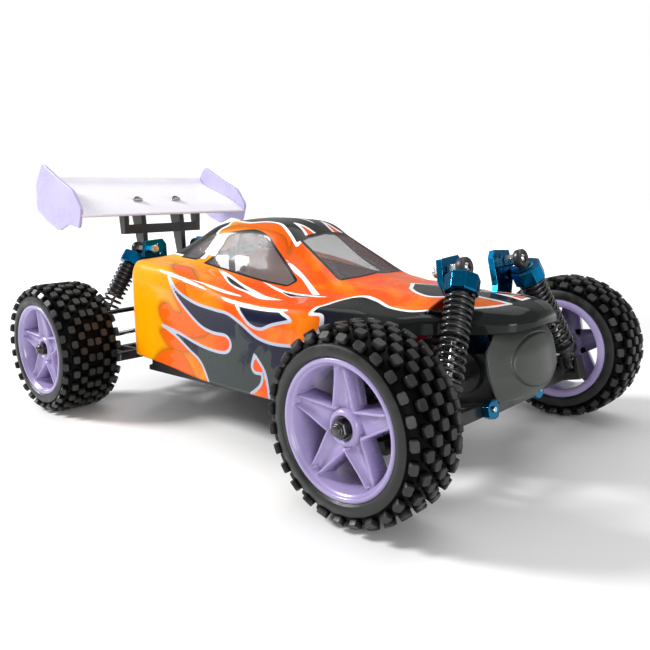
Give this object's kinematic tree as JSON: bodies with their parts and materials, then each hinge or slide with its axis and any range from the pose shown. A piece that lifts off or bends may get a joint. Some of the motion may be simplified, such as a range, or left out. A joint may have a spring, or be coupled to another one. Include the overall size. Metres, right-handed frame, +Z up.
{
  "type": "radio-controlled off-road buggy",
  "caption": "Radio-controlled off-road buggy: flame-painted body shell, rear wing, knobbly tyres on five-spoke rims, coil-over shocks, working steering and suspension.",
  "frame": {"origin": "on the ground, below the middle of the bounding box", "axes": "+X forward, +Y to the driver's left, +Z up"},
  "size_m": [0.3874, 0.2346, 0.172],
  "materials": {
    "black_plastic": "moulded black nylon",
    "grey_plastic": "satin dark grey plastic",
    "blue_aluminium": "blue anodised aluminium",
    "steel": "bright steel",
    "white_plastic": "moulded pale nylon",
    "purple_plastic": "moulded lavender nylon",
    "tyre_rubber": "soft black tyre rubber",
    "body_paint": "painted clear polycarbonate",
    "battery_wrap": "red shrink wrap",
    "motor_can": "zinc-plated can",
    "brass": "brass",
    "servo_case": "black moulded case",
    "spring_steel": "black coated spring wire"
  },
  "bodies": {
    "chassis": {"chassis_plate": "black_plastic", "front_bumper": "grey_plastic", "gearboxes": "black_plastic", "shock_towers": "blue_aluminium", "arm_holders": "blue_aluminium", "wing_mount": "black_plastic", "wing": "white_plastic", "motor": "motor_can", "motor_mount": "blue_aluminium", "battery_pack": "battery_wrap", "steering_servo": "servo_case", "radio_gear": "servo_case", "fasteners": "steel", "body_posts": "black_plastic", "body_shell": "body_paint"},
    "motor_pinion": {"motor_pinion": "brass"},
    "centre_drive": {"centre_drive": "steel"},
    "servo_saver": {"servo_saver": "black_plastic"},
    "idler_arm": {"idler_arm": "black_plastic"},
    "centre_link": {"centre_link": "steel"},
    "front_left_arm": {"front_left_lower_arm": "black_plastic"},
    "front_left_carrier": {"front_left_hub_carrier": "black_plastic"},
    "front_left_upper_link": {"front_left_upper_link": "steel"},
    "front_left_drive_shaft": {"front_left_drive_shaft": "steel"},
    "front_left_wheel": {"front_left_rim": "purple_plastic", "front_left_tyre": "tyre_rubber"},
    "front_left_shock_body": {"front_left_shock_body": "blue_aluminium", "front_left_shock_spring": "spring_steel"},
    "front_left_shock_rod": {"front_left_shock_rod": "steel"},
    "front_left_knuckle": {"front_left_knuckle": "black_plastic"},
    "front_left_tie_rod": {"front_left_tie_rod": "steel"},
    "front_right_arm": {"front_right_lower_arm": "black_plastic"},
    "front_right_carrier": {"front_right_hub_carrier": "black_plastic"},
    "front_right_upper_link": {"front_right_upper_link": "steel"},
    "front_right_drive_shaft": {"front_right_drive_shaft": "steel"},
    "front_right_wheel": {"front_right_rim": "purple_plastic", "front_right_tyre": "tyre_rubber"},
    "front_right_shock_body": {"front_right_shock_body": "blue_aluminium", "front_right_shock_spring": "spring_steel"},
    "front_right_shock_rod": {"front_right_shock_rod": "steel"},
    "front_right_knuckle": {"front_right_knuckle": "black_plastic"},
    "front_right_tie_rod": {"front_right_tie_rod": "steel"},
    "rear_left_arm": {"rear_left_lower_arm": "black_plastic"},
    "rear_left_carrier": {"rear_left_hub_carrier": "black_plastic"},
    "rear_left_upper_link": {"rear_left_upper_link": "steel"},
    "rear_left_drive_shaft": {"rear_left_drive_shaft": "steel"},
    "rear_left_wheel": {"rear_left_rim": "purple_plastic", "rear_left_tyre": "tyre_rubber"},
    "rear_left_shock_body": {"rear_left_shock_body": "blue_aluminium", "rear_left_shock_spring": "spring_steel"},
    "rear_left_shock_rod": {"rear_left_shock_rod": "steel"},
    "rear_right_arm": {"rear_right_lower_arm": "black_plastic"},
    "rear_right_carrier": {"rear_right_hub_carrier": "black_plastic"},
    "rear_right_upper_link": {"rear_right_upper_link": "steel"},
    "rear_right_drive_shaft": {"rear_right_drive_shaft": "steel"},
    "rear_right_wheel": {"rear_right_rim": "purple_plastic", "rear_right_tyre": "tyre_rubber"},
    "rear_right_shock_body": {"rear_right_shock_body": "blue_aluminium", "rear_right_shock_spring": "spring_steel"},
    "rear_right_shock_rod": {"rear_right_shock_rod": "steel"}
  },
  "joints": [
    {"name": "centre_drive_spin", "type": "hinge", "parent": "chassis", "child": "centre_drive", "pos_m": [-0.00575, 0, 0.047], "axis": [1, 0, 0], "continuous": true},
    {"name": "motor_pinion_spin", "type": "hinge", "parent": "chassis", "child": "motor_pinion", "pos_m": [-0.00575, -0.022, 0.05], "axis": [1, 0, 0], "continuous": true},
    {"name": "steering", "type": "hinge", "parent": "chassis", "child": "servo_saver", "pos_m": [0.12025, -0.013, 0.05], "axis": [0, 0, 1], "range_deg": [-20, 20]},
    {"name": "idler_swing", "type": "hinge", "parent": "chassis", "child": "idler_arm", "pos_m": [0.12025, 0.013, 0.05], "axis": [0, 0, 1], "range_deg": [-20.5, 20.5]},
    {"name": "centre_link_swing", "type": "hinge", "parent": "servo_saver", "child": "centre_link", "pos_m": [0.10625, -0.013, 0.054], "axis": [0, 0, 1], "range_deg": [-20.5, 20.5]},
    {"name": "front_left_suspension", "type": "hinge", "parent": "chassis", "child": "front_left_arm", "pos_m": [0.15245, 0.024, 0.03128], "axis": [0.9781, 0, 0.2079], "range_deg": [-9, 12], "stiffness_Nm_per_rad": 6},
    {"name": "front_left_carrier_swing", "type": "hinge", "parent": "front_left_arm", "child": "front_left_carrier", "pos_m": [0.15245, 0.086, 0.03128], "axis": [0.9781, 0, 0.2079], "range_deg": [-12.3, 9.3]},
    {"name": "front_left_upper_link_swing", "type": "hinge", "parent": "chassis", "child": "front_left_upper_link", "pos_m": [0.1458, 0.028, 0.06259], "axis": [0.9781, 0, 0.2079], "range_deg": [-9.92, 13.13]},
    {"name": "front_left_drive_shaft_swing", "type": "hinge", "parent": "chassis", "child": "front_left_drive_shaft", "pos_m": [0.1485, 0.024, 0.04987], "axis": [0.9781, 0, 0.2079], "range_deg": [-8.97, 11.87]},
    {"name": "front_left_shock_swing", "type": "hinge", "parent": "chassis", "child": "front_left_shock_body", "pos_m": [0.1553, 0.028, 0.10447], "axis": [0.9781, 0, 0.2079], "range_deg": [-2.02, 2.59]},
    {"name": "front_left_shock_slide", "type": "slide", "parent": "front_left_shock_body", "child": "front_left_shock_rod", "axis": [-0.1788, -0.5105, 0.8411], "range_m": [-0.00659, 0.00868], "deforming": ["front_left_shock_spring"]},
    {"name": "front_left_kingpin", "type": "hinge", "parent": "front_left_carrier", "child": "front_left_knuckle", "pos_m": [0.14975, 0.09, 0.044], "axis": [-0.2079, 0, 0.9781], "range_deg": [-20.5, 20.5]},
    {"name": "front_left_wheel_spin", "type": "hinge", "parent": "front_left_knuckle", "child": "front_left_wheel", "pos_m": [0.14975, 0.1, 0.044], "axis": [0, 1, 0], "continuous": true},
    {"name": "front_left_tie_rod_swing", "type": "hinge", "parent": "centre_link", "child": "front_left_tie_rod", "pos_m": [0.10625, 0.022, 0.057], "axis": [0.9143, -0.3553, 0.1943], "range_deg": [-7.93, 10.47]},
    {"name": "front_right_suspension", "type": "hinge", "parent": "chassis", "child": "front_right_arm", "pos_m": [0.15245, -0.024, 0.03128], "axis": [-0.9781, 0, -0.2079], "range_deg": [-9, 12], "stiffness_Nm_per_rad": 6},
    {"name": "front_right_carrier_swing", "type": "hinge", "parent": "front_right_arm", "child": "front_right_carrier", "pos_m": [0.15245, -0.086, 0.03128], "axis": [-0.9781, 0, -0.2079], "range_deg": [-12.3, 9.3]},
    {"name": "front_right_upper_link_swing", "type": "hinge", "parent": "chassis", "child": "front_right_upper_link", "pos_m": [0.1458, -0.028, 0.06259], "axis": [-0.9781, 0, -0.2079], "range_deg": [-9.92, 13.13]},
    {"name": "front_right_drive_shaft_swing", "type": "hinge", "parent": "chassis", "child": "front_right_drive_shaft", "pos_m": [0.1485, -0.024, 0.04987], "axis": [-0.9781, 0, -0.2079], "range_deg": [-8.97, 11.87]},
    {"name": "front_right_shock_swing", "type": "hinge", "parent": "chassis", "child": "front_right_shock_body", "pos_m": [0.1553, -0.028, 0.10447], "axis": [-0.9781, 0, -0.2079], "range_deg": [-2.02, 2.59]},
    {"name": "front_right_shock_slide", "type": "slide", "parent": "front_right_shock_body", "child": "front_right_shock_rod", "axis": [-0.1788, 0.5105, 0.8411], "range_m": [-0.00659, 0.00868], "deforming": ["front_right_shock_spring"]},
    {"name": "front_right_kingpin", "type": "hinge", "parent": "front_right_carrier", "child": "front_right_knuckle", "pos_m": [0.14975, -0.09, 0.044], "axis": [-0.2079, 0, 0.9781], "range_deg": [-20.5, 20.5]},
    {"name": "front_right_wheel_spin", "type": "hinge", "parent": "front_right_knuckle", "child": "front_right_wheel", "pos_m": [0.14975, -0.1, 0.044], "axis": [0, 1, 0], "continuous": true},
    {"name": "front_right_tie_rod_swing", "type": "hinge", "parent": "centre_link", "child": "front_right_tie_rod", "pos_m": [0.10625, -0.022, 0.057], "axis": [-0.9143, -0.3553, -0.1943], "range_deg": [-7.93, 10.47]},
    {"name": "rear_left_suspension", "type": "hinge", "parent": "chassis", "child": "rear_left_arm", "pos_m": [-0.12525, 0.024, 0.031], "axis": [1, 0, 0], "range_deg": [-9, 12], "stiffness_Nm_per_rad": 6},
    {"name": "rear_left_carrier_swing", "type": "hinge", "parent": "rear_left_arm", "child": "rear_left_carrier", "pos_m": [-0.12525, 0.086, 0.031], "axis": [1, 0, 0], "range_deg": [-12.3, 9.3]},
    {"name": "rear_left_upper_link_swing", "type": "hinge", "parent": "chassis", "child": "rear_left_upper_link", "pos_m": [-0.12525, 0.028, 0.063], "axis": [1, 0, 0], "range_deg": [-9.92, 13.13]},
    {"name": "rear_left_drive_shaft_swing", "type": "hinge", "parent": "chassis", "child": "rear_left_drive_shaft", "pos_m": [-0.12525, 0.024, 0.047], "axis": [1, 0, 0], "range_deg": [-9.02, 11.92]},
    {"name": "rear_left_shock_swing", "type": "hinge", "parent": "chassis", "child": "rear_left_shock_body", "pos_m": [-0.13485, 0.027, 0.107], "axis": [1, 0, 0], "range_deg": [-2.27, 2.93]},
    {"name": "rear_left_shock_slide", "type": "slide", "parent": "rear_left_shock_body", "child": "rear_left_shock_rod", "axis": [0, -0.5633, 0.8262], "range_m": [-0.00748, 0.00987], "deforming": ["rear_left_shock_spring"]},
    {"name": "rear_left_wheel_spin", "type": "hinge", "parent": "rear_left_carrier", "child": "rear_left_wheel", "pos_m": [-0.12525, 0.1, 0.044], "axis": [0, 1, 0], "continuous": true},
    {"name": "rear_right_suspension", "type": "hinge", "parent": "chassis", "child": "rear_right_arm", "pos_m": [-0.12525, -0.024, 0.031], "axis": [-1, 0, 0], "range_deg": [-9, 12], "stiffness_Nm_per_rad": 6},
    {"name": "rear_right_carrier_swing", "type": "hinge", "parent": "rear_right_arm", "child": "rear_right_carrier", "pos_m": [-0.12525, -0.086, 0.031], "axis": [-1, 0, 0], "range_deg": [-12.3, 9.3]},
    {"name": "rear_right_upper_link_swing", "type": "hinge", "parent": "chassis", "child": "rear_right_upper_link", "pos_m": [-0.12525, -0.028, 0.063], "axis": [-1, 0, 0], "range_deg": [-9.92, 13.13]},
    {"name": "rear_right_drive_shaft_swing", "type": "hinge", "parent": "chassis", "child": "rear_right_drive_shaft", "pos_m": [-0.12525, -0.024, 0.047], "axis": [-1, 0, 0], "range_deg": [-9.02, 11.92]},
    {"name": "rear_right_shock_swing", "type": "hinge", "parent": "chassis", "child": "rear_right_shock_body", "pos_m": [-0.13485, -0.027, 0.107], "axis": [-1, 0, 0], "range_deg": [-2.27, 2.93]},
    {"name": "rear_right_shock_slide", "type": "slide", "parent": "rear_right_shock_body", "child": "rear_right_shock_rod", "axis": [0, 0.5633, 0.8262], "range_m": [-0.00748, 0.00987], "deforming": ["rear_right_shock_spring"]},
    {"name": "rear_right_wheel_spin", "type": "hinge", "parent": "rear_right_carrier", "child": "rear_right_wheel", "pos_m": [-0.12525, -0.1, 0.044], "axis": [0, 1, 0], "continuous": true}
  ],
  "couplings": [
    {"joint": "motor_pinion_spin", "follows": "centre_drive_spin", "ratio": -2.0833},
    {"joint": "idler_swing", "follows": "steering", "ratio": 1},
    {"joint": "centre_link_swing", "follows": "steering", "ratio": -1},
    {"joint": "front_left_carrier_swing", "follows": "front_left_suspension", "ratio": -1},
    {"joint": "front_left_upper_link_swing", "follows": "front_left_suspension", "ratio": 1.069},
    {"joint": "front_left_drive_shaft_swing", "follows": "front_left_suspension", "ratio": 0.96387},
    {"joint": "front_left_shock_swing", "follows": "front_left_suspension", "ratio": 0.19115},
    {"joint": "front_left_shock_slide", "follows": "front_left_suspension", "m_per_rad": 0.040031},
    {"joint": "front_left_kingpin", "follows": "steering", "ratio": 1},
    {"joint": "front_left_tie_rod_swing", "follows": "front_left_suspension", "ratio": 0.84792},
    {"joint": "front_right_carrier_swing", "follows": "front_right_suspension", "ratio": -1},
    {"joint": "front_right_upper_link_swing", "follows": "front_right_suspension", "ratio": 1.069},
    {"joint": "front_right_drive_shaft_swing", "follows": "front_right_suspension", "ratio": 0.96387},
    {"joint": "front_right_shock_swing", "follows": "front_right_suspension", "ratio": 0.19115},
    {"joint": "front_right_shock_slide", "follows": "front_right_suspension", "m_per_rad": 0.040031},
    {"joint": "front_right_kingpin", "follows": "steering", "ratio": 1},
    {"joint": "front_right_tie_rod_swing", "follows": "front_right_suspension", "ratio": 0.84792},
    {"joint": "rear_left_carrier_swing", "follows": "rear_left_suspension", "ratio": -1},
    {"joint": "rear_left_upper_link_swing", "follows": "rear_left_suspension", "ratio": 1.069},
    {"joint": "rear_left_drive_shaft_swing", "follows": "rear_left_suspension", "ratio": 0.96848},
    {"joint": "rear_left_shock_swing", "follows": "rear_left_suspension", "ratio": 0.21936},
    {"joint": "rear_left_shock_slide", "follows": "rear_left_suspension", "m_per_rad": 0.045714},
    {"joint": "rear_right_carrier_swing", "follows": "rear_right_suspension", "ratio": -1},
    {"joint": "rear_right_upper_link_swing", "follows": "rear_right_suspension", "ratio": 1.069},
    {"joint": "rear_right_drive_shaft_swing", "follows": "rear_right_suspension", "ratio": 0.96848},
    {"joint": "rear_right_shock_swing", "follows": "rear_right_suspension", "ratio": 0.21936},
    {"joint": "rear_right_shock_slide", "follows": "rear_right_suspension", "m_per_rad": 0.045714}
  ]
}
